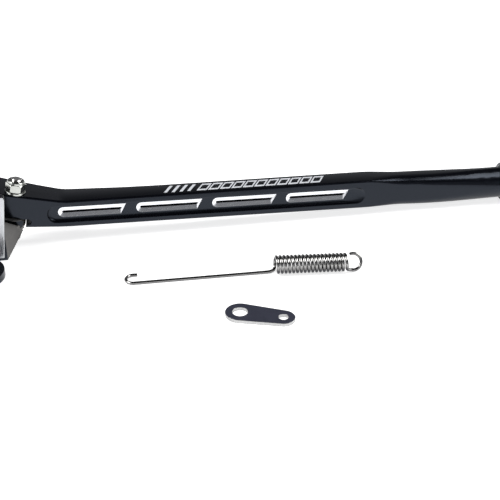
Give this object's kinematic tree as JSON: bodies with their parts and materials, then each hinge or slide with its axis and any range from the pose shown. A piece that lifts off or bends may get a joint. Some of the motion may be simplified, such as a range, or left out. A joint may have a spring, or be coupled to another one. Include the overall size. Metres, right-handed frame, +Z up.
{
  "type": "motorcycle kickstand",
  "caption": "Motorcycle side stand: grooved leg pivoting on a frame bracket, with a round foot, a loose extension spring and a loose link plate.",
  "frame": {"origin": "middle of the footprint on the bench top that the kit lies on", "axes": "+X along the leg from the pivot to the foot, +Z up from the bench, +Y from the loose spring and link to the leg"},
  "size_m": [0.488, 0.1714, 0.056],
  "materials": {
    "bracket": "black anodised",
    "leg": "black anodised, pocket edges cut bright",
    "foot": "black anodised",
    "steel": "bright stainless",
    "spring": "bright stainless wire",
    "bronze": "plain bearing bronze",
    "acetal": "matte",
    "nylon": "matte",
    "link": "black zinc, bright sheared edge"
  },
  "bodies": {
    "bracket": {"bracket": "bracket", "pivot_stud": "steel", "pivot_bush": "bronze", "thrust_washer": "acetal", "nut_washer": "steel", "pivot_nut": "steel", "nut_insert": "nylon", "stop_pin": "steel"},
    "leg": {"leg": "leg", "foot": "foot", "foot_screw": "steel", "spring_post": "steel"},
    "spring": {"spring_coil": "spring", "spring_eye": "spring"},
    "spring_arm": {"spring_arm": "spring"},
    "link": {"link_plate": "link"}
  },
  "joints": [
    {"name": "leg_pivot", "type": "hinge", "parent": "bracket", "child": "leg", "pos_m": [-0.1705, 0.0593, 0.0442], "axis": [0.225, 0, 0.9744], "range_deg": [0, 92]},
    {"name": "spring_lift", "type": "slide", "parent": "bracket", "child": "spring", "axis": [0, 0, 1], "range_m": [0, 0.08]},
    {"name": "spring_stretch", "type": "slide", "parent": "spring", "child": "spring_arm", "axis": [-0.9995, 0.0317, 0], "range_m": [0, 0.045], "stiffness_N_per_m": 10700},
    {"name": "link_lift", "type": "slide", "parent": "bracket", "child": "link", "axis": [0, 0, 1], "range_m": [0, 0.08]}
  ]
}
